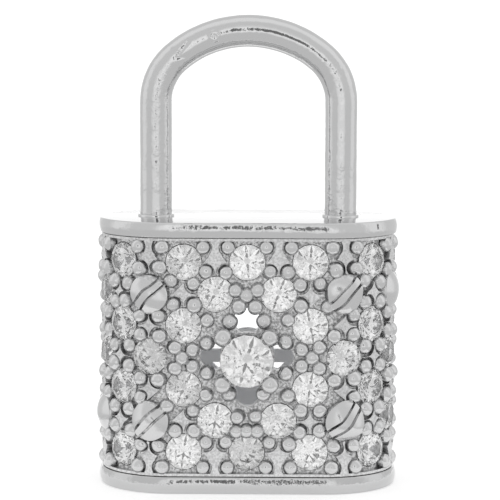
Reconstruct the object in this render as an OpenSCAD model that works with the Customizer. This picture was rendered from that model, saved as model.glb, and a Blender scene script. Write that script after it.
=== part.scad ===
// Padlock pendant: a hollow pave-set case between two plates, with a soldered shackle.
// It stands on its bottom plate, with its front towards -Y and +Z up.

/* [Case] */
// Width of the two plates across their round ends
case_w = 14; // [13.8:0.1:14.4]
// Depth of the two plates from front to back, also the diameter of their round ends
case_d = 7; // [6.9:0.05:7.2]
// Height between the two plates
wall_h = 11.06; // [11:0.02:12]
// Thickness of the wall under its lands
wall_t = 1; // [0.98:0.01:1.02]
// Thickness of the top plate
top_t = 0.7; // [0.5:0.02:1]
// Thickness of the bottom plate
bottom_t = 0.78; // [0.5:0.02:1]
// How far the wall stands back from the plates' edges
wall_inset = 0.15; // [0.12:0.01:0.18]
// Open seam between the wall and each plate
seam = 0.03; // [0.02:0.01:0.05]

/* [Shackle] */
// Diameter of the shackle's wire
wire_d = 1.5; // [1.3:0.05:1.7]
// Width of the shackle over its two legs
shackle_w = 10.14; // [9:0.02:11]
// Height of the shackle above the top plate
shackle_h = 9.4; // [8:0.05:11]
// Rise of the arch above its straight legs, on the wire's centre line
arch_rise = 3.28; // [3:0.02:4]
// Radius of the arch's two shoulders, on the wire's centre line
shoulder_r = 2.7; // [2.2:0.05:2.9]

/* [Stones] */
// Diameter of a small round stone
stone_d = 1.66; // [1.6:0.01:1.68]
// Diameter of the round centre stone
centre_d = 2.43; // [2.3:0.01:2.5]
// Height from one row of stones to the next
row_pitch = 1.465; // [1.45:0.005:1.48]
// Distance from one column to the next on the flat front
front_pitch = 1.45; // [1.44:0.005:1.46]
// Distance from one column to the next round the ends
end_pitch = 1.62; // [1.6:0.01:1.65]

/* [Setting] */
// Depth of the worked ground below the lands
ground_depth = 0.25; // [0.2:0.01:0.28]
// Radius of a bead that holds the small stones
bead_r = 0.34; // [0.3:0.01:0.35]
// Radius of the beads round the ends
end_bead_r = 0.35; // [0.3:0.01:0.35]
// Height of a bead above the lands
bead_rise = 0.14; // [0.05:0.01:0.2]
// Radius of the four prongs of the centre stone
prong_r = 0.4; // [0.32:0.01:0.42]
// Height of the four prongs above the lands
prong_rise = 0.6; // [0.5:0.01:0.7]
// Radius of a screw-head dome
dome_r = 0.9; // [0.85:0.01:0.95]
// Height of a screw-head dome above the lands
dome_rise = 0.34; // [0.3:0.01:0.4]
// Radius of the four pierced holes round the centre stone
hole_r = 0.62; // [0.5:0.01:0.64]

/* [Hidden] */
// Rows are counted from the top and columns outwards from the middle of the front,
// so row 0 is under the top plate and a left-hand column is negative.
rows = 7;
mid_row = (rows - 1) / 2;
front_columns = 2;
side_columns = 6;
end_r = case_d / 2;
flat = case_w / 2 - end_r;
wall_r = end_r - wall_inset;
ground_r = wall_r - ground_depth;
inner_r = wall_r - wall_t;
wall_z0 = bottom_t + seam;
wall_z1 = bottom_t + wall_h - seam;
mid_z = bottom_t + wall_h / 2;
top_z = bottom_t + wall_h + top_t;
pave_end = 131;
band_lap = 2;
rim_h = 0.12;
root = 0.1;
foot_w = -ground_depth - root;
foot_ring = 0.1;
groove = 0.09;
plate_edge = 0.1;
fine = 48;

// Cut of a round stone, as shares of its diameter
crown_share = 0.14;
girdle_share = 0.03;
pavilion_share = 0.43;
table_share = 0.56;
stone_gap = 0.02;
stone_girdle_w = -0.2;
centre_girdle_w = 0.3;
centre_up = -0.1;
light_hole_r = 0.35;

// Beads round one site, as [across, up], and their places beside a rosette hole
bead_off = 0.45;
cap_share = 1.08;
edge_bead_across = 0.57;
edge_bead_up = 0.7;
prong_off = 1.07;
hole_off = [1.54, 1.68];
corner_bead_outer = [0.4, 0.27];
corner_bead_upper = [-0.66, 0.2];
corner_bead_lower = [0.36, -0.8];
// [towards the hole, middle bead away from it, outer pair away from it]
beside_top_hole = [0.6, 0, 0.23];
beside_bottom_hole = [0.22, 0.44, 0.46];
beside_side_hole = [0.38, 0.12, 0.45];
pair_across = 0.38;
outer_pair_across = 0.5;

// Beads beside the screw heads. A bead's key is [column, row, left or right, up or down] of its site.
screw_bead_up = 0.28;
moved_beads = [
    [[-2, 1, -1, 1], [-0.54, 0.64]],
    [[-2, 5, -1, 1], [-0.82, 0.67]],
    [[2, 1, 1, -1], [0.79, -0.61]],
    [[4, 1, -1, 1], [-0.51, 0.56]],
    [[-4, 1, 1, -1], [0.3, -0.37]],
    [[-4, 5, 1, -1], [0.57, -0.52]]];
left_out_beads = [[3, 2, -1, 1], [-3, 4, 1, -1], [3, 4, -1, -1]];

// Screw heads: a bar between two slots, which points at a bead at each end. Two domes further round
// the ends, at the upper right and the lower left, are plain.
screw_column = 3;
boss_column = 5;
bar_w = 0.3;
bar_turn = 43.5;
slot_w = 0.13;
slot_depth = 0.24;
dome_foot_w = 0;

// Flat lands: a four-pointed star, and at the wall's edges one with a stem up to the rim
land_tip = 0.53;
stem_shoulder = 0.3;
stem_half = 0.2;

// The collet under the centre stone, and the openings of the plain back
collet_outer_r = 1.26;
collet_inner_r = 0.9;
collet_front_w = -0.28;
collet_back_w = -2.05;
window_r = 2.3;
window_up = 0.4;
window_bar_up = -0.755;
window_bar_h = 0.63;
azure_r = 0.65;
azure_ring_r = 3.1;
azures = 5;

function site_bead_r(k) = abs(k) > front_columns + 1 ? end_bead_r : bead_r;
function row_z(j) = mid_z + (mid_row - j) * row_pitch;
function column_s(k) = abs(k) <= front_columns ? k * front_pitch
    : sign(k) * (front_columns * front_pitch + (abs(k) - front_columns) * end_pitch);
function is_even(n) = abs(n) % 2 == 0;
function is_screw(k, j) = abs(j - mid_row) == 2 && abs(k) == screw_column;
function is_boss(k, j) = k == boss_column * sign(mid_row - j) && abs(j - mid_row) == 2;
function is_hole(k, j) = abs(k) + abs(j - mid_row) == 1;
function is_stone(k, j) = is_even(k + j) && !is_screw(k, j) && !is_boss(k, j) && !is_hole(k, j);
function side_word(k) = k < 0 ? str("_left", -k) : k > 0 ? str("_right", k) : "_middle";
function stone_name(site) = str("stone_row", site[1] + 1, side_word(site[0]));

stone_sites = [for (j = [0:rows - 1], k = [-side_columns:side_columns]) if (is_stone(k, j)) [k, j]];
land_sites = [for (j = [0:rows - 1], k = [-side_columns:side_columns])
    if (!is_even(k + j) && abs(k) + abs(j - mid_row) != 0 && abs(k) + abs(j - mid_row) != 2) [k, j]];
bead_sites = [for (j = [0:rows - 1], k = [-side_columns - 1:side_columns + 1])
    if (!is_even(k + j) && !(k == 0 && j == mid_row)) [k, j]];
dome_sites = [for (j = [0:rows - 1], k = [-side_columns:side_columns])
    if (is_screw(k, j) || is_boss(k, j)) [k, j]];

// A corner bead, [a, b], at one of the places that a quarter gives it
function corner_beads(k, j) = [for (b = [corner_bead_outer, corner_bead_upper, corner_bead_lower])
    [b[0] * sign(k), b[1] * sign(mid_row - j)]];

// Five beads beside a rosette hole, first as if the hole were above, then turned
function five_beads(place) = [[-pair_across, place[0]], [pair_across, place[0]], [0, -place[1]],
    [-outer_pair_across, -place[2]], [outer_pair_across, -place[2]]];
function rosette_side_beads(k, j) =
    k != 0 ? [for (b = five_beads(beside_side_hole)) [-sign(k) * b[1], b[0]]]
    : j < mid_row ? [for (b = five_beads(beside_top_hole)) [b[0], -b[1]]]
    : five_beads(beside_bottom_hole);

// Up to four beads of a plain site: they spread at the wall's edges and make room for the screw heads
function is_in(list, key) = len([for (item = list) if (item == key) item]) > 0;
function moved_place(key) = [for (item = moved_beads) if (item[0] == key) item[1]];
function plain_bead(k, j, a, b) = let (place = moved_place([k, j, a, b]), edge_row = j == 0 || j == rows - 1)
    len(place) > 0 ? place[0]
    : edge_row && b * (mid_row - j) > 0 ? [a * edge_bead_across, b * edge_bead_up]
    : edge_row && abs(k) == screw_column ? [a * bead_off, b * screw_bead_up]
    : [a * bead_off, b * bead_off];
function plain_beads(k, j) = [for (a = [-1, 1], b = [-1, 1])
    if ((abs(k) <= side_columns || a * k < 0) && !is_in(left_out_beads, [k, j, a, b])) plain_bead(k, j, a, b)];

function site_beads(k, j) =
    abs(k) + abs(j - mid_row) != 2 && !(abs(k) == 1 && abs(j - mid_row) == 1) ? plain_beads(k, j)
    : abs(k) == 1 ? corner_beads(k, j)
    : rosette_side_beads(k, j);

// Places children on the wall: x runs along it, y upwards and z outwards from the lands
module on_wall(s, z) {
    x = max(-flat, min(flat, s));
    translate([x, 0, z]) rotate([0, 0, (s - x) / wall_r * 180 / PI]) translate([0, -wall_r, 0])
        rotate([90, 0, 0]) children();
}

module at_site(site) {
    on_wall(column_s(site[0]), row_z(site[1])) children();
}

module at_centre() {
    on_wall(0, mid_z + centre_up) children();
}

// A bent band of wall round both ends, from the front's edge through an angle
module end_band(r_in, r_out, through, h) {
    for (side = [0, 1]) mirror([side, 0, 0]) translate([flat, 0, 0]) rotate([0, 0, -90])
        rotate_extrude(angle = through, $fn = fine) translate([r_in, 0]) square([r_out - r_in, h]);
}

module flat_band(y0, y1, h) {
    translate([-flat, y0, 0]) cube([2 * flat, y1 - y0, h]);
}

// A post with a domed top, standing in the ground
module post(r, rise, foot) {
    cap_r = cap_share * r;
    rotate_extrude($fn = fine) intersection() {
        translate([0, foot]) square([r, rise - foot]);
        union() {
            translate([0, rise - cap_r]) circle(cap_r);
            translate([0, foot]) square([r, rise - cap_r - foot]);
        }
    }
}

module stem_outline() {
    edge = wall_z1 - row_z(0) - rim_h / 2;
    polygon([[-land_tip, 0], [0, -land_tip], [land_tip, 0], [stem_shoulder, stem_shoulder],
        [stem_half, edge], [-stem_half, edge], [-stem_shoulder, stem_shoulder]]);
}

module star_outline() {
    polygon([[-land_tip, 0], [0, -land_tip], [land_tip, 0], [0, land_tip]]);
}

// A flat land between the beads of one site
module land(k, j) {
    translate([0, 0, foot_w]) linear_extrude(-foot_w) difference() {
        if (j == 0) stem_outline();
        else if (j == rows - 1) mirror([0, 1, 0]) stem_outline();
        else star_outline();
        for (b = site_beads(k, j)) translate(b) circle(site_bead_r(k) + groove, $fn = fine);
    }
}

// A dome, and a screw head: a dome with two slots, which leave a bar between them
module dome(shrink) {
    cap = dome_rise - dome_foot_w;
    cap_r = (dome_r * dome_r + cap * cap) / (2 * cap);
    intersection() {
        translate([0, 0, foot_w]) cylinder(r = dome_r, h = dome_rise - foot_w, $fn = fine);
        translate([0, 0, dome_rise - cap_r]) sphere(cap_r - shrink, $fn = fine);
    }
}

module screw_head() {
    slot_y = bar_w / 2 + slot_w / 2;
    difference() {
        dome(0);
        rotate([0, 0, bar_turn]) difference() {
            for (side = [-1, 1]) translate([-dome_r, side * slot_y - slot_w / 2, -ground_depth])
                cube([2 * dome_r, slot_w, 2 * dome_rise + ground_depth]);
            dome(slot_depth);
        }
    }
}

// The room that a round stone takes, with a small gap all over
module stone_room(d, girdle_w) {
    r = d / 2 + stone_gap;
    girdle_h = girdle_share * d;
    crown_h = crown_share * d;
    table_r = table_share * d / 2 + stone_gap;
    rotate_extrude($fn = fine) polygon([
        [0, girdle_w - girdle_h - pavilion_share * d - 2 * stone_gap],
        [r, girdle_w - girdle_h - stone_gap],
        [r, girdle_w + stone_gap],
        [table_r, girdle_w + crown_h + stone_gap],
        [0, girdle_w + crown_h + stone_gap]]);
}

module plain_shell() {
    h = wall_z1 - wall_z0;
    translate([0, 0, wall_z0]) {
        flat_band(-ground_r, -inner_r, h);
        end_band(inner_r, ground_r, pave_end + band_lap, h);
        mirror([0, 1, 0]) end_band(inner_r, wall_r, 180 - pave_end, h);
        flat_band(inner_r, wall_r, h);
    }
}

module rims() {
    for (z = [wall_z0, wall_z1 - rim_h]) translate([0, 0, z]) {
        flat_band(-wall_r, -ground_r + root, rim_h);
        end_band(ground_r - root, wall_r, pave_end, rim_h);
    }
}

module pierced_shell() {
    difference() {
        plain_shell();
        for (a = [0:90:270]) on_wall(hole_off[0] * cos(a), mid_z + hole_off[1] * sin(a))
            translate([0, 0, -1.5 * wall_t]) cylinder(r = hole_r, h = 2 * wall_t, $fn = fine);
        translate([0, inner_r - wall_t / 2, mid_z + window_up]) rotate([-90, 0, 0]) {
            difference() {
                cylinder(r = window_r, h = 2 * wall_t, $fn = fine);
                translate([-window_r, window_up - window_bar_up - window_bar_h / 2, 0])
                    cube([2 * window_r, window_bar_h, 2 * wall_t]);
            }
            for (i = [0:azures - 1]) rotate([0, 0, 90 + i * 360 / azures])
                translate([-azure_ring_r, 0, 0]) cylinder(r = azure_r, h = 2 * wall_t, $fn = fine);
        }
    }
}

module centre_collet() {
    at_centre() {
        rotate_extrude($fn = fine) translate([collet_inner_r, collet_back_w])
            square([collet_outer_r - collet_inner_r, collet_front_w - collet_back_w]);
        for (a = [-1, 1], b = [-1, 1]) translate([a * prong_off, b * prong_off, 0])
            post(prong_r, prong_rise, -wall_t + root);
    }
}

module pave_wall() {
    color("lightgray") difference() {
        union() {
            pierced_shell();
            rims();
            centre_collet();
            for (site = land_sites) at_site(site) land(site[0], site[1]);
            for (site = bead_sites, b = site_beads(site[0], site[1])) at_site(site)
                translate(b) post(site_bead_r(site[0]), bead_rise, foot_w);
            for (site = dome_sites) at_site(site)
                if (is_screw(site[0], site[1])) screw_head();
                else dome(0);
        }
        for (site = stone_sites) at_site(site) {
            stone_room(stone_d, stone_girdle_w);
            translate([0, 0, -1.5 * wall_t]) cylinder(r = light_hole_r, h = wall_t, $fn = fine);
        }
        at_centre() {
            stone_room(centre_d, centre_girdle_w);
            translate([0, 0, -1.5 * wall_t]) cylinder(r = collet_inner_r, h = wall_t, $fn = fine);
        }
    }
}

// A plate of thickness t with bevelled edges, from z = 0 up
module plate(t) {
    profile = [[0, 0], [end_r - plate_edge, 0], [end_r, plate_edge], [end_r, t - plate_edge],
        [end_r - plate_edge, t], [0, t]];
    for (turn = [0, 180]) rotate([0, 0, turn]) {
        translate([flat, 0, 0]) rotate([0, 0, -90])
            rotate_extrude(angle = 180, $fn = fine) polygon(profile);
        translate([-flat, 0, 0]) rotate([90, 0, 90]) linear_extrude(2 * flat) polygon(profile);
    }
}

// Steps of the wire's centre line round one arc, as [x, z, direction of travel]
function arc_steps(centre, r, from, to, steps, first) = [for (i = [first:steps])
    let (a = from + (to - from) * i / steps) [centre[0] + r * cos(a), centre[1] + r * sin(a), a - 90]];

// The shackle's wire: up one leg, over two shoulders and a flatter crown, and down the other leg
module shackle() {
    wire_r = wire_d / 2;
    half_w = shackle_w / 2 - wire_r;
    spring_z = shackle_h - wire_r - arch_rise;
    shoulder_x = half_w - shoulder_r;
    crown_r = (pow(shoulder_x, 2) + arch_rise * arch_rise - shoulder_r * shoulder_r)
        / (2 * (arch_rise - shoulder_r));
    crown_z = spring_z + arch_rise - crown_r;
    crown_half = atan2(shoulder_x, crown_r - arch_rise);
    sunk = top_t / 2;
    line = concat(
        [[-half_w, -sunk, 90]],
        arc_steps([-shoulder_x, spring_z], shoulder_r, 180, 90 + crown_half, 8, 0),
        arc_steps([0, crown_z], crown_r, 90 + crown_half, 90 - crown_half, 12, 1),
        arc_steps([shoulder_x, spring_z], shoulder_r, 90 - crown_half, 0, 8, 1),
        [[half_w, -sunk, -90]]);
    sides = 24;
    last = len(line) - 1;
    rings = [for (p = line, i = [0:sides - 1]) let (a = i * 360 / sides, out = wire_r * cos(a))
        [p[0] - out * sin(p[2]), wire_r * sin(a), p[1] + out * cos(p[2])]];
    walls = [for (n = [0:last - 1], i = [0:sides - 1]) let (j = (i + 1) % sides)
        [n * sides + j, (n + 1) * sides + j, (n + 1) * sides + i, n * sides + i]];
    polyhedron(points = rings, faces = concat([[for (i = [sides - 1:-1:0]) i]], walls,
        [[for (i = [0:sides - 1]) last * sides + i]]));
    for (side = [-1, 1]) translate([side * half_w, 0, -sunk])
        cylinder(r = wire_r + foot_ring, h = sunk + foot_ring, $fn = fine);
}

module bottom_plate() {
    color("silver") plate(bottom_t);
}

module top_plate_with_shackle() {
    color("silver") translate([0, 0, top_z - top_t]) {
        plate(top_t);
        translate([0, 0, top_t]) shackle();
    }
}

// A round brilliant: table, stars, kites, upper halves, girdle, lower halves and pavilion mains
module brilliant(d, girdle_w) {
    r = d / 2;
    table_r = table_share * r;
    crown_h = crown_share * d;
    girdle_h = girdle_share * d;
    pavilion_h = pavilion_share * d;
    star_r = (table_r + r) / 2;
    star_h = crown_h * (r - star_r * cos(22.5)) / (r - table_r);
    lower_r = 0.25 * r;
    low = girdle_w - girdle_h;
    lower_h = pavilion_h * (1 - lower_r * cos(22.5) / r);
    points = concat(
        [for (i = [0:7]) [table_r * cos(45 * i), table_r * sin(45 * i), girdle_w + crown_h]],
        [for (i = [0:7]) [star_r * cos(45 * i + 22.5), star_r * sin(45 * i + 22.5), girdle_w + star_h]],
        [for (n = [0:15]) [r * cos(22.5 * n), r * sin(22.5 * n), girdle_w]],
        [for (n = [0:15]) [r * cos(22.5 * n), r * sin(22.5 * n), low]],
        [for (i = [0:7]) [lower_r * cos(45 * i + 22.5), lower_r * sin(45 * i + 22.5), low - lower_h]],
        [[0, 0, low - pavilion_h]]);
    star = 8;
    top = 16;
    bottom = 32;
    lower = 48;
    culet = 56;
    faces = concat(
        [[for (i = [7:-1:0]) i]],
        [for (i = [0:7]) [(i + 1) % 8, star + i, i]],
        [for (i = [0:7]) [star + i, top + 2 * i, star + (i + 7) % 8, i]],
        [for (i = [0:7], h = [0, 1]) [top + (2 * i + h + 1) % 16, top + 2 * i + h, star + i]],
        [for (n = [0:15]) [top + (n + 1) % 16, bottom + (n + 1) % 16, bottom + n, top + n]],
        [for (i = [0:7], h = [0, 1]) [bottom + 2 * i + h, bottom + (2 * i + h + 1) % 16, lower + i]],
        [for (i = [0:7]) [lower + (i + 7) % 8, bottom + 2 * i, lower + i, culet]]);
    polyhedron(points = points, faces = faces);
}

module small_stone(site) {
    color("white") at_site(site) brilliant(stone_d, stone_girdle_w);
}

module centre_stone() {
    color("white") at_centre() brilliant(centre_d, centre_girdle_w);
}

bottom_plate();
pave_wall();
top_plate_with_shackle();
centre_stone();
for (site = stone_sites) small_stone(site);
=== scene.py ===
import math
import random

import bpy
from mathutils import Matrix, Quaternion, Vector, noise


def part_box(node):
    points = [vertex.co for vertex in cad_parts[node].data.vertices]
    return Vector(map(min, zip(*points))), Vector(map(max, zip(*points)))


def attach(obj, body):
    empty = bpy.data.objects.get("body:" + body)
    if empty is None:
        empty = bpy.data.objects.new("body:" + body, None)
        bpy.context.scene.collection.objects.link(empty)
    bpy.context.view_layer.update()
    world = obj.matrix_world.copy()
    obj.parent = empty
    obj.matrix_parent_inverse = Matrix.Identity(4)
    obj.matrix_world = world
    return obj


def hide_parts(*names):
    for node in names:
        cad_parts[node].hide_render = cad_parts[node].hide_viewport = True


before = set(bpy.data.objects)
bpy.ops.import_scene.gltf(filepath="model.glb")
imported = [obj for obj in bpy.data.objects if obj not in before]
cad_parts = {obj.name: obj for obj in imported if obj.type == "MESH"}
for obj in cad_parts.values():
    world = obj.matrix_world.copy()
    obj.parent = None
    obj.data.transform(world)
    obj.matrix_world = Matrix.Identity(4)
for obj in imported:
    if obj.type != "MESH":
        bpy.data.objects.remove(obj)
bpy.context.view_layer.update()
mm = 0.001    # every size below is in mm until it is multiplied by this
bpy.ops.object.select_all(action="DESELECT")
print("frame loaded:", len(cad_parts), "nodes")


class Wire:
    # A socket of a node tree. Sums and products of values add their Math nodes.
    def __init__(self, tree, socket=None):
        self.tree = tree
        self.socket = socket

    def add(self, kind, settings=None, inputs=None, output=0):
        node = self.tree.nodes.new(kind)
        for name, value in (settings or {}).items():
            setattr(node, name, value)
        for name, value in (inputs or {}).items():
            if isinstance(value, Wire):
                self.tree.links.new(value.socket, node.inputs[name])
            else:
                node.inputs[name].default_value = value
        return Wire(self.tree, node.outputs[output] if node.outputs else None)

    def math(self, operation, *values):
        return self.add("ShaderNodeMath", {"operation": operation}, dict(enumerate(values)))

    def __add__(self, other): return self.math("ADD", self, other)
    def __radd__(self, other): return self.math("ADD", other, self)
    def __sub__(self, other): return self.math("SUBTRACT", self, other)
    def __rsub__(self, other): return self.math("SUBTRACT", other, self)
    def __mul__(self, other): return self.math("MULTIPLY", self, other)
    def __rmul__(self, other): return self.math("MULTIPLY", other, self)
    def __abs__(self): return self.math("ABSOLUTE", self)

    # The x, y or z of a vector
    def axis(self, letter):
        return self.add("ShaderNodeSeparateXYZ", inputs={0: self}, output="xyz".index(letter))

    # 0 below low, 1 above high, and smooth in between
    def step(self, low, high):
        return self.add("ShaderNodeMapRange", {"interpolation_type": "SMOOTHSTEP"},
                        {"Value": self, "From Min": low, "From Max": high})

    # 1 between two steps, the first going up and the second going down, and 0 beyond them
    def band(self, up, down):
        return self.step(*up) * (1 - self.step(*down))

    def blend(self, shadeA, shadeB):
        return self.add("ShaderNodeMix", {"data_type": "RGBA"},
                        {"Factor": self, 6: shadeA, 7: shadeB}, output=2)


def grey(level, tint=0.0):
    return (level, level * (1 + tint * 0.3), level * (1 + tint), 1)


def newMaterial(name):
    material = bpy.data.materials.new(name)
    material.use_nodes = True
    tree = material.node_tree
    tree.nodes.clear()
    return material, Wire(tree)


def useSurface(start, inputs):
    shader = start.add("ShaderNodeBsdfPrincipled", inputs=inputs)
    start.add("ShaderNodeOutputMaterial", inputs={"Surface": shader})


studio = {
    "azimuth": 0.72, "elevation": 6.26, "roll": 0.18,    # the camera's direction, in degrees
    "target": (0.086, 0, 10.936), "distance": 110, "lens": 168.67, "sensor": 36,    # in mm
    "clip": (0.001, 100),    # in metres
    "floorSize": 26, "floorBack": 4.5, "floorDrop": 0.01,
    "floorShade": 0.8, "floorGlow": 0.42, "floorRoughness": 0.9, "floorGloss": 0.1,
    # the tent's light at the sides and round the camera, slantwise between them, straight
    # behind the object and from below, and the directions over which the last three set in
    "tentLight": 1.02, "slantLight": 0.8, "backLight": 1.2, "lowLight": 0.74,
    "slant": ((0.15, 0.45), (0.86, 0.95)), "back": (0.9, 0.97), "low": (-0.24, -0.13),
    "backdrop": 1.15,    # what the camera itself sees of the tent
    # the dark oval where the camera looks in: place and half size in degrees, edge and shade
    "lensHole": (2.5, 11), "lensHoleSize": (6, 10), "lensHoleEdge": 1.15, "lensShade": 0.2,
    "ringLight": 0.18, "ringSize": 22, "ringBottom": (-0.1, -0.02),    # a lighter ring round it
    "front": (-0.8, -0.7),    # where both end towards the sides
    "bounces": 32, "diffuseBounces": 24, "glossyBounces": 12,
}


def buildCamera():
    az, el = math.radians(studio["azimuth"]), math.radians(studio["elevation"])
    back = Vector((math.sin(az) * math.cos(el), -math.cos(az) * math.cos(el), math.sin(el)))
    place = (Vector(studio["target"]) + back * studio["distance"]) * mm
    bpy.ops.object.camera_add(location=place)
    camera = bpy.context.object
    camera.name = "photo_camera"
    camera.rotation_mode = "QUATERNION"
    roll = Quaternion((0, 0, 1), math.radians(studio["roll"]))
    camera.rotation_quaternion = (-back).to_track_quat("-Z", "Y") @ roll
    camera.data.lens = studio["lens"]
    camera.data.sensor_width = studio["sensor"]
    camera.data.clip_start, camera.data.clip_end = studio["clip"]
    bpy.context.scene.camera = camera
    bpy.ops.object.select_all(action="DESELECT")


def buildFloor():
    place = Vector((0, studio["floorBack"], -studio["floorDrop"])) * mm
    bpy.ops.mesh.primitive_plane_add(size=studio["floorSize"] * mm, location=place)
    floor = bpy.context.object
    floor.name = "floor"
    material, start = newMaterial("pale_floor")
    useSurface(start, {
        "Base Color": grey(studio["floorShade"]), "Roughness": studio["floorRoughness"],
        "Specular IOR Level": studio["floorGloss"],
        "Emission Color": grey(1), "Emission Strength": studio["floorGlow"]})
    floor.data.materials.append(material)
    bpy.ops.object.select_all(action="DESELECT")


def sine(degrees):
    return math.sin(math.radians(degrees))


# A light tent: bright round the camera, at the sides and behind, softer slantwise and from
# below, and dark where the camera looks in
def buildTent():
    k = studio
    world = bpy.data.worlds.new("light_tent")
    bpy.context.scene.world = world
    world.use_nodes = True
    world.node_tree.nodes.clear()
    start = Wire(world.node_tree)
    direction = start.add("ShaderNodeTexCoord", output=0)
    x, y, z = (direction.axis(letter) for letter in "xyz")
    light = k["tentLight"] - (k["tentLight"] - k["slantLight"]) * abs(y).band(*k["slant"])
    light = light + (k["backLight"] - k["tentLight"]) * y.step(*k["back"])
    light = light - (light - k["lowLight"]) * (1 - z.step(*k["low"]))

    (az, el), (wide, high) = k["lensHole"], k["lensHoleSize"]
    across = x - sine(az)
    up = (z - sine(el)) * (wide / high)
    away = start.math("SQRT", across * across + up * up)
    front = 1 - y.step(*k["front"])
    ring = (1 - away.step(sine(wide), sine(k["ringSize"]))) * z.step(*k["ringBottom"]) * front
    hole = (1 - away.step(sine(wide), sine(wide) * k["lensHoleEdge"])) * front
    light = light + k["ringLight"] * ring
    light = light - (light - k["lensShade"]) * hole

    seen = start.add("ShaderNodeLightPath", output=0)
    strength = light * (1 - seen) + k["backdrop"] * seen
    shade = start.add("ShaderNodeBackground", inputs={"Color": grey(1), "Strength": strength})
    start.add("ShaderNodeOutputWorld", inputs={"Surface": shade})


buildCamera()
buildFloor()
buildTent()
bpy.context.scene.view_settings.view_transform = "Standard"
bpy.context.scene.cycles.max_bounces = studio["bounces"]
bpy.context.scene.cycles.diffuse_bounces = studio["diffuseBounces"]
bpy.context.scene.cycles.glossy_bounces = studio["glossyBounces"]
print("camera, floor and light made")


# In the finishes, noise is given as its scale, detail and roughness, and bump as its strength
# and height
metal = {
    "flat": 3.5, "wallRadius": 3.35,    # half of the flat front, and the lands' radius at the ends
    "tint": 0.005, "cloudRoughness": 0.06,
    # the inside of the case is painted pale and matt, as painted light, from this far under the
    # lands
    "inside": (-0.8, -0.6), "innerPaintedLight": 0.97, "innerRoughness": 0.5,
}


def mottle(place, scale, detail, roughness=0.5):
    return place.add("ShaderNodeTexNoise", inputs={
        "Vector": place, "Scale": scale, "Detail": detail, "Roughness": roughness})


def bumpOf(height, strength, distance):
    return height.add("ShaderNodeBump", inputs={
        "Strength": strength, "Distance": distance * mm, "Height": height})


def inMm(place, letter):
    return place.axis(letter) * 1000


# How far a point stands out from the lands
def standOut(place):
    y = inMm(place, "y")
    over = place.math("MAXIMUM", abs(inMm(place, "x")) - metal["flat"], 0)
    return place.math("SQRT", over * over + y * y) - metal["wallRadius"]


def useMetal(start, level, roughness, inner, bump):
    # painted light: the inside of the case is pale and matt
    level = level + (metal["innerPaintedLight"] - level) * inner
    roughness = roughness + (metal["innerRoughness"] - roughness) * inner
    useSurface(start, {
        "Base Color": level.blend(grey(0), grey(1, metal["tint"])), "Metallic": 1 - inner,
        "Roughness": roughness, "Normal": bump})


casting = {
    # the ground is the grooves between the beads, painted darker than the lands as painted shade;
    # these are the heights over the lands at which it turns into lands, beads and the beads' tops
    "groundPaintedShade": 0.54, "landShade": 0.69, "beadShade": 0.65,
    "land": (-0.26, -0.04), "bead": (0.02, 0.07), "dome": (0.12, 0.2),
    "plainBack": (2.1, 2.3),    # y from which the back is as smooth as a bead
    # speckles from the grain, darker on the ground as painted shade: the darkest and the range, on
    # the ground and on the lands
    "groundSpeckle": (0.55, 0.8), "landSpeckle": (0.8, 0.3), "speckle": (0.4, 0.6),
    "seat": (-0.52, -0.4), "seatPaintedLight": 0.8,    # the depths of the stones' seats, painted lighter: painted light
    # painted shade: crevices, found by ambient occlusion, are darker
    "hiddenWithin": 0.25, "hidden": (0.3, 0.95), "paintedCreviceShade": 0.86, "hiddenSamples": 6,
    "roughness": 0.07, "groundRoughness": 0.22, "domeRoughness": 0.12,
    "grain": (9000, 4, 0.65), "cloud": (900, 2), "beadSmooth": 0.85, "bump": (0.6, 0.02),
}


def castSilver():
    k = casting
    material, start = newMaterial("cast_silver")
    place = start.add("ShaderNodeTexCoord", output=3)
    grain = mottle(place, *k["grain"])
    out = standOut(place)
    land = out.step(*k["land"])
    bead = start.math("MAXIMUM", out.step(*k["bead"]), inMm(place, "y").step(*k["plainBack"]))
    # the level by height: the ground painted darker than the lands, as painted shade, with
    # speckles from the grain
    (groundDark, groundRange), (landDark, landRange) = k["groundSpeckle"], k["landSpeckle"]
    dark = groundDark + (landDark - groundDark) * land
    light = (groundRange + (landRange - groundRange) * land) * grain.step(*k["speckle"])
    level = (k["groundPaintedShade"] + (k["landShade"] - k["groundPaintedShade"]) * land) * (dark + light)
    level = level + (k["beadShade"] - level) * bead
    # painted shade in the crevices, from ambient occlusion
    clear = start.add("ShaderNodeAmbientOcclusion", {"samples": k["hiddenSamples"]},
                      {"Distance": k["hiddenWithin"] * mm}, output=1).step(*k["hidden"])
    level = level * (k["paintedCreviceShade"] + (1 - k["paintedCreviceShade"]) * clear)
    # painted light: the depths of the stones' seats are lighter
    level = level + (k["seatPaintedLight"] - level) * (1 - out.step(*k["seat"]))
    roughness = (k["roughness"] + metal["cloudRoughness"] * mottle(place, *k["cloud"])
                 + k["groundRoughness"] * (1 - bead) + k["domeRoughness"] * out.step(*k["dome"]))
    bump = bumpOf(grain * (1 - bead * k["beadSmooth"]), *k["bump"])
    useMetal(start, level, roughness, 1 - out.step(*metal["inside"]), bump)
    return material


polish = {
    "shade": 0.64, "roughness": 0.05,
    "foot": (0.6, 1.2), "footPaintedShade": 0.9,    # the foot and the legs are painted a little darker: painted shade
    "legs": ((12.7, 12.9), (17, 19.5)), "legPaintedShade": 0.05,
    "inside": ((0.7, 0.72), (11.88, 11.9)),    # heights between which the faces close the case
    "cloud": (700, 3), "fine": (5000, 3), "bump": (0.5, 0.03),
    # the fine unevenness, more of it in patches, and less on the plate's top and on the arch
    "fineHeight": 0.45, "patch": (0.42, 0.6), "patchHeight": 1.1,
    "top": ((12.5, 12.53), (12.6, 12.65)), "topSmooth": 0.75,
    "arch": (19.5, 20.5), "archSmooth": 0.6,
}


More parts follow.
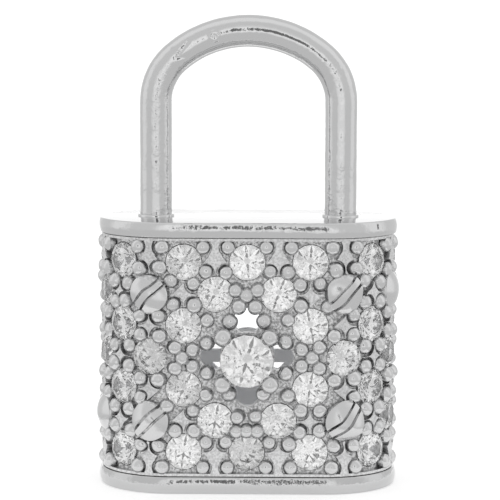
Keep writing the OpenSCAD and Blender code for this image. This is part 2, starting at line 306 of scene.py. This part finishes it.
def polishedSilver():
    k = polish
    material, start = newMaterial("polished_silver")
    place = start.add("ShaderNodeTexCoord", output=3)
    cloud = mottle(place, *k["cloud"])
    z = inMm(place, "z")
    uneven = k["fineHeight"] + k["patchHeight"] * cloud.step(*k["patch"])
    uneven = uneven * (1 - k["topSmooth"] * z.band(*k["top"]))
    uneven = uneven * (1 - k["archSmooth"] * z.step(*k["arch"]))
    height = cloud + uneven * mottle(place, *k["fine"])
    # painted shade: the foot and the legs are made a little darker
    level = k["shade"] * (k["footPaintedShade"] + (1 - k["footPaintedShade"]) * z.step(*k["foot"]))
    level = level * (1 - k["legPaintedShade"] * z.band(*k["legs"]))
    roughness = k["roughness"] + metal["cloudRoughness"] * cloud
    inner = (1 - standOut(place).step(*metal["inside"])) * z.band(*k["inside"])
    useMetal(start, level, roughness, inner, bumpOf(height, *k["bump"]))
    return material


stone = {
    "shade": 0.89, "ior": 2.16, "roughness": 0.04,
    "cloud": (420, 1), "cloudStep": (0.3, 0.62), "cloudDark": 0.88,
    "scuffs": (5500, 1), "bump": (0.13, 0.02),
    # darker spots in some stones: x and z from the front's middle, radius, and how much darker
    "darkSpots": {
        "stone_row7_middle": (0.2, -0.2, 0.8, 0.28), "stone_row4_left3": (-0.2, 0.2, 1, 0.24),
        "stone_row5_left2": (-0.4, 0.4, 0.5, 0.5), "stone_row1_left2": (-0.4, -0.2, 0.4, 0.4),
        "stone_row3_left2": (-0.4, -0.3, 0.4, 0.4), "stone_row1_right2": (-0.4, 0.2, 0.3, 0.4),
        "stone_row6_right1": (-0.3, 0.3, 0.3, 0.4), "stone_row4_right3": (0.3, 0, 0.4, 0.3)},
    "darkSpotFade": 0.15,
    "seed": 7, "tilt": 1.3,    # degrees by which a stone may lie askew
}


def zirconia():
    k = stone
    material, start = newMaterial("zirconia")
    place = start.add("ShaderNodeTexCoord", output=3)
    cloud = mottle(place, *k["cloud"]).step(*k["cloudStep"])
    level = k["shade"] * (k["cloudDark"] + (1 - k["cloudDark"]) * cloud)
    for name, (x, z, radius, darkening) in k["darkSpots"].items():
        low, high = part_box(name)
        spot = Vector(((low.x + high.x) / 2 + x * mm, low.y, (low.z + high.z) / 2 + z * mm))
        off = start.add("ShaderNodeVectorMath", {"operation": "DISTANCE"},
                        {0: place, 1: spot}, output=1) * 1000
        beyond = off.step(radius - k["darkSpotFade"], radius + k["darkSpotFade"])
        level = level * (1 - darkening * (1 - beyond))
    useSurface(start, {
        "Base Color": level.blend(grey(0), grey(1)), "Roughness": k["roughness"], "IOR": k["ior"],
        "Transmission Weight": 1.0, "Normal": bumpOf(mottle(place, *k["scuffs"]), *k["bump"])})
    return material


finishes = {"wall": castSilver(), "plates": polishedSilver(), "stones": zirconia()}
print("finishes made")


# Short helpers for modelling
mergeWithin = 0.0005    # points closer than this are made one
sameHeight = 0.001    # and heights closer than this count as one


def choose(piece):
    bpy.ops.object.select_all(action="DESELECT")
    piece.select_set(True)
    bpy.context.view_layer.objects.active = piece


def applyPlace():
    bpy.ops.object.transform_apply(location=True, rotation=True, scale=True)


# Names the object that was just added, and puts its place in its mesh
def newPiece(name):
    piece = bpy.context.object
    piece.name = name
    piece.data.name = name
    applyPlace()
    return piece


def editOn(piece):
    choose(piece)
    bpy.ops.object.mode_set(mode="EDIT")


def editOff():
    bpy.ops.object.mode_set(mode="OBJECT")


# Selects the vertices whose place, in mm, passes a test, and what lies between them
def pick(piece, test):
    bpy.ops.mesh.select_all(action="DESELECT")
    bpy.ops.object.mode_set(mode="OBJECT")
    for point in piece.data.vertices:
        point.select = bool(test(point.co / mm))
    bpy.ops.object.mode_set(mode="EDIT")
    bpy.ops.mesh.select_mode(type="VERT")


def pickEdges(piece, test):
    bpy.ops.mesh.select_mode(type="EDGE")
    bpy.ops.mesh.select_all(action="DESELECT")
    bpy.ops.object.mode_set(mode="OBJECT")
    points = piece.data.vertices
    for edge in piece.data.edges:
        a, b = (points[i].co / mm for i in edge.vertices)
        edge.select = bool(test(a, b))
    bpy.ops.object.mode_set(mode="EDIT")


def extrudeUp(height):
    bpy.ops.mesh.extrude_region_move(TRANSFORM_OT_translate={"value": (0, 0, height * mm)})


def closeUp():
    bpy.ops.mesh.select_all(action="SELECT")
    bpy.ops.mesh.remove_doubles(threshold=mergeWithin * mm)
    bpy.ops.mesh.normals_make_consistent(inside=False)


# A CAD node's mesh is loose triangles, so a copy of it is merged before it is worked on
def copyNode(node, name):
    piece = bpy.data.objects.new(name, node.data.copy())
    bpy.context.scene.collection.objects.link(piece)
    editOn(piece)
    closeUp()
    bpy.ops.mesh.customdata_custom_splitnormals_clear()
    editOff()
    return piece


def settle(piece, angle):
    choose(piece)
    applyPlace()
    bpy.ops.object.shade_smooth_by_angle(angle=math.radians(angle))


def dress(piece, slot):
    piece.data.materials.clear()
    piece.data.materials.append(finishes[slot])


plates = {
    "endRadius": 3.5, "flat": 3.5, "steps": 384,    # flat is half the length of the straight sides
    "bottomLow": 0.0, "bottomHigh": 0.78, "topLow": 11.84, "topHigh": 12.54,
    "edge": 0.04, "edgeSteps": 4, "rimCuts": 5, "smoothAngle": 40,
    # the rims bulge, over a zone of so many edges from outside, and the top plate's bulge tilts
    "camber": 0.075, "camberZone": 1.5, "camberTilt": 0.05,
    # the join in the top plate's rim: its place as an angle, in degrees
    "joinAt": 45.5, "joinWidth": 0.05, "joinDepth": 0.06,
}


def buildPlate(name, low, high, joined):
    k = plates
    inset = k["endRadius"] - k["camber"]
    bpy.ops.mesh.primitive_circle_add(
        vertices=k["steps"], radius=inset * mm, fill_type="NGON",
        location=(0, 0, low * mm), rotation=(0, 0, math.pi / k["steps"]))
    plate = newPiece(name)
    editOn(plate)
    for side in (-1, 1):
        pick(plate, lambda p: p.x * side > 0)
        bpy.ops.transform.translate(value=(side * k["flat"] * mm, 0, 0))
    bpy.ops.mesh.select_all(action="SELECT")
    extrudeUp(high - low)
    closeUp()
    pickEdges(plate, lambda a, b: abs(a.z - b.z) > (high - low) / 2)
    bpy.ops.mesh.subdivide(number_cuts=k["rimCuts"])
    for level in (low, high):
        pickEdges(plate, lambda a, b: max(abs(a.z - level), abs(b.z - level)) < sameHeight)
        bpy.ops.mesh.bevel(
            offset=k["edge"] * mm, segments=k["edgeSteps"], profile=0.5, affect="EDGES")
    closeUp()
    editOff()
    middle, half = (low + high) / 2, (high - low) / 2
    for point in plate.data.vertices:
        p = point.co / mm
        axis = Vector((max(-k["flat"], min(k["flat"], p.x)), 0, p.z))
        out = p - axis
        if out.length > inset - k["edge"] * k["camberZone"]:
            tilt = k["camberTilt"] * max(-1, min(1, p.x / k["flat"])) if joined else 0
            swell = k["camber"] * (1 - ((p.z - middle + tilt) / half) ** 2)
            if joined:
                turn = abs(math.degrees(math.atan2(out.x, -out.y)) - k["joinAt"])
                off = math.radians(turn) * k["endRadius"] / k["joinWidth"]
                swell -= k["joinDepth"] * max(0, 1 - off * off)
            point.co = (p + out.normalized() * swell) * mm
    settle(plate, k["smoothAngle"])
    dress(plate, "plates")
    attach(plate, "root")
    return plate


bottomPlate = buildPlate("bottom_plate_polished", plates["bottomLow"], plates["bottomHigh"], False)
topPlate = buildPlate("top_plate_polished", plates["topLow"], plates["topHigh"], True)
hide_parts("bottom_plate")
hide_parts("top_plate_with_shackle")
print("plates modelled")


shackle = {
    "wireRadius": 0.75, "halfWidth": 4.32, "sides": 64, "sunk": 0.35,
    "springHeight": 5.37, "shoulderRadius": 2.7, "archRise": 3.28,
    "legCuts": 70, "shoulderSteps": 40, "crownSteps": 112, "smoothAngle": 50,
    # a ring of solder at each foot
    "collarRadius": 0.85, "collarHeight": 0.1, "collarEdge": 0.045, "collarEdgeSteps": 3,
    "unevenness": 0.028, "unevennessSize": 1.1,
    # creases in the front of the left shoulder: two ends as (x, z), then half width and depth
    "creases": [((-3.2, 20.15), (-2.8, 20.7), 0.09, 0.045),
                ((-3.35, 19.93), (-2.9, 20.0), 0.08, 0.045),
                ((-3.2, 20.15), (-3.5, 20.35), 0.09, 0.035)],
    # a flat drop of solder beside them, highest along its edge
    "drop": (-1.58, 20.95), "dropRadius": 0.19, "dropRise": 0.05, "dropEdge": 0.5,
    "markedFrom": 19, "markedFront": -0.1,    # the marks lie above this z and in front of this y
}


# Creases and a drop of solder on the front of the wire
def markWire(wire):
    k = shackle
    drop = Vector(k["drop"])
    for point in wire.data.vertices:
        p = point.co / mm
        if p.y > k["markedFront"] or p.z < k["markedFrom"]:
            continue
        here = Vector((p.x, p.z))
        off = (here - drop).length / k["dropRadius"]
        rise = k["dropRise"] * max(0, 1 - ((off - 1) / k["dropEdge"]) ** 2)
        for start, end, width, depth in k["creases"]:
            start, run = Vector(start), Vector(end) - Vector(start)
            share = max(0, min(1, (here - start).dot(run) / run.length_squared))
            off = (here - start - run * share).length / width
            rise -= depth * max(0, 1 - off * off)
        point.co += point.normal * rise * mm


def buildWire():
    k = shackle
    foot = plates["topHigh"] - k["sunk"]
    leg = k["springHeight"] + k["sunk"]
    shoulderX = k["halfWidth"] - k["shoulderRadius"]
    rise, radius = k["archRise"], k["shoulderRadius"]
    crownRadius = (shoulderX ** 2 + rise ** 2 - radius ** 2) / (2 * (rise - radius))
    crownHalf = math.atan2(shoulderX, crownRadius - rise)
    spring = plates["topHigh"] + k["springHeight"]
    bpy.ops.mesh.primitive_circle_add(
        vertices=k["sides"], radius=k["wireRadius"] * mm, fill_type="NOTHING",
        location=(-k["halfWidth"] * mm, 0, foot * mm))
    wire = newPiece("shackle_wire")
    editOn(wire)
    bpy.ops.mesh.select_all(action="SELECT")
    extrudeUp(leg)
    for steps, angle, x, z in (
            (k["shoulderSteps"], math.pi / 2 - crownHalf, -shoulderX, spring),
            (k["crownSteps"], 2 * crownHalf, 0, spring + rise - crownRadius),
            (k["shoulderSteps"], math.pi / 2 - crownHalf, shoulderX, spring)):
        bpy.ops.mesh.spin(steps=steps, angle=angle, center=(x * mm, 0, z * mm), axis=(0, -1, 0))
    extrudeUp(-leg)
    closeUp()
    pickEdges(wire, lambda a, b: abs(a.z - b.z) > leg / 2)
    bpy.ops.mesh.subdivide(number_cuts=k["legCuts"])
    for side in (-1, 1):
        pickEdges(wire, lambda a, b: a.x * side > 0 and max(a.z, b.z) < foot + sameHeight)
        bpy.ops.mesh.edge_face_add()
    closeUp()
    editOff()
    return wire


def addCollar(wire, side):
    k = shackle
    foot, top = plates["topHigh"] - k["sunk"], plates["topHigh"] + k["collarHeight"]
    bpy.ops.mesh.primitive_cylinder_add(
        vertices=k["sides"], radius=k["collarRadius"] * mm, depth=(top - foot) * mm,
        location=(side * k["halfWidth"] * mm, 0, (top + foot) / 2 * mm))
    collar = newPiece("collar")
    editOn(collar)
    pickEdges(collar, lambda a, b: min(a.z, b.z) > top - sameHeight)
    bpy.ops.mesh.bevel(
        offset=k["collarEdge"] * mm, segments=k["collarEdgeSteps"], profile=0.5, affect="EDGES")
    editOff()
    wire.select_set(True)
    bpy.context.view_layer.objects.active = wire
    bpy.ops.object.join()


# The wire isn't quite even, because it was bent and filed by hand
def unevenWire(wire):
    clouds = bpy.data.textures.new("soft_dents", "CLOUDS")
    clouds.noise_scale = shackle["unevennessSize"] * mm
    dents = wire.modifiers.new("soft_dents", "DISPLACE")
    dents.texture = clouds
    dents.texture_coords = "LOCAL"
    dents.strength = shackle["unevenness"] * mm
    dents.mid_level = 0.5
    choose(wire)
    bpy.ops.object.modifier_apply(modifier=dents.name)


wire = buildWire()
for side in (-1, 1):
    addCollar(wire, side)
unevenWire(wire)
markWire(wire)
settle(wire, shackle["smoothAngle"])
dress(wire, "plates")
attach(wire, "root")
print("shackle modelled")


# A copy of each stone, turned about its own axis and a little askew in its seat
def turnStone(node, dice):
    low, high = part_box(node.name)
    middle = (low + high) / 2
    axisX = max(-metal["flat"] * mm, min(metal["flat"] * mm, middle.x))
    out = Vector((middle.x - axisX, middle.y, 0)).normalized()
    side = out.cross(Vector((0, 0, 1)))
    cut = copyNode(node, node.name + "_cut")
    askew = Quaternion(side, math.radians(dice.uniform(-1, 1) * stone["tilt"]))
    askew = askew @ Quaternion((0, 0, 1), math.radians(dice.uniform(-1, 1) * stone["tilt"]))
    turn = (askew @ Quaternion(out, dice.uniform(0, math.pi / 4))).to_matrix().to_4x4()
    cut.data.transform(Matrix.Translation(middle) @ turn @ Matrix.Translation(-middle))
    bpy.ops.object.shade_flat()
    dress(cut, "stones")
    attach(cut, "root")
    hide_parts(node.name)


dice = random.Random(stone["seed"])
for name in sorted(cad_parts):
    if name.startswith("stone_row") or name == "centre_stone":
        turnStone(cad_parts[name], dice)
print("stones turned")


setting = {
    # a head is what stands out from the lands: its lowest point, its least top and its reach
    "low": -0.15, "headLow": 0.05, "widest": 2.2,
    # how much the heads differ in place and size, and how soon, as noise of this seed
    "seed": 5, "lean": 0.11, "swell": 0.16, "apart": 2.3, "swellShift": (9, 0, 0),
    "seamLow": 0.82, "seamHigh": 11.8,    # the heights between which they stay
    # the dents fade towards the seams and the plain back
    "dent": 0.02, "dentSize": 0.28, "backAt": 2.15, "fade": 0.2,
    # screw heads and domes, as (x, y, z), get few dents, and the screw heads are slightly bent
    "screws": [(side * 4.504, -3.196, z) for side in (-1, 1) for z in (3.38, 9.24)],
    "domes": [(6.701, -0.987, 9.24), (-6.701, -0.987, 3.38)],
    "screwRadius": 0.95, "screwFade": 0.3, "screwDent": 0.25, "bend": 0.13, "bendSize": 1.0,
    "smoothAngle": 24,
}


# The points whose height is over low, in groups that hang together, such as one bead's head
def raisedGroups(piece, heights, low):
    mates = {}
    for edge in piece.data.edges:
        a, b = edge.vertices
        if min(heights[a], heights[b]) > low:
            mates.setdefault(a, []).append(b)
            mates.setdefault(b, []).append(a)
    groups, seen = [], set()
    for first in mates:
        if first in seen:
            continue
        seen.add(first)
        group = [first]
        for point in group:
            for mate in mates[point]:
                if mate not in seen:
                    seen.add(mate)
                    group.append(mate)
        groups.append(group)
    return groups


# Sets the heads of the beads a little askew, each in a size of its own, and counts them
def leanHeads(cast, places, heights):
    k = setting
    heads = 0
    for group in raisedGroups(cast, heights, k["low"]):
        middle = sum((places[i] for i in group), Vector()) / len(group)
        reach = max((places[i] - middle).length for i in group)
        if reach > k["widest"] or max(heights[i] for i in group) < k["headLow"]:
            continue
        here = middle * k["apart"]
        lean = noise.noise_vector(here) * k["lean"]
        most = min(k["swell"], k["lean"] / reach)
        swell = 1 + noise.noise(here + Vector(k["swellShift"])) * most
        moved = [middle + (places[i] - middle) * swell + lean for i in group]
        over = max(0, max(p.z for p in moved) - k["seamHigh"])
        under = min(0, min(p.z for p in moved) - k["seamLow"])
        for i, p in zip(group, moved):
            places[i] = p - Vector((0, 0, over + under))
        heads += 1
    return heads


# Dents a point along its normal and bends it with its screw head
def workedPoint(p, normal, screws, domes):
    k = setting
    inside = min(p.z - k["seamLow"], k["seamHigh"] - p.z, k["backAt"] - p.y) / k["fade"]
    dent = noise.noise(p / k["dentSize"]) * k["dent"] * max(0, min(1, inside))
    near = min((p - screw).length for screw in screws)
    if min(near, *((p - dome).length for dome in domes)) < k["screwRadius"]:
        dent *= k["screwDent"]
    bend = noise.noise_vector(p / k["bendSize"]) * k["bend"]
    bend *= max(0, min(1, (k["screwRadius"] - near) / k["screwFade"] + 1))
    return p + bend + normal * dent


# The wall as a casting finished by hand
def castWall(node):
    k = setting
    noise.seed_set(k["seed"])
    cast = copyNode(node, "pave_wall_cast")
    places = [point.co / mm for point in cast.data.vertices]
    normals = [point.normal.copy() for point in cast.data.vertices]
    heights = [math.hypot(max(abs(p.x) - metal["flat"], 0), p.y) - metal["wallRadius"]
               for p in places]
    heads = leanHeads(cast, places, heights)
    screws, domes = ([Vector(place) for place in k[kind]] for kind in ("screws", "domes"))
    for point, p, normal, height in zip(cast.data.vertices, places, normals, heights):
        if height > k["low"]:
            point.co = workedPoint(p, normal, screws, domes) * mm
    settle(cast, k["smoothAngle"])
    dress(cast, "wall")
    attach(cast, "root")
    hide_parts("pave_wall")
    return heads


print("wall finished:", castWall(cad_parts["pave_wall"]), "heads moved")
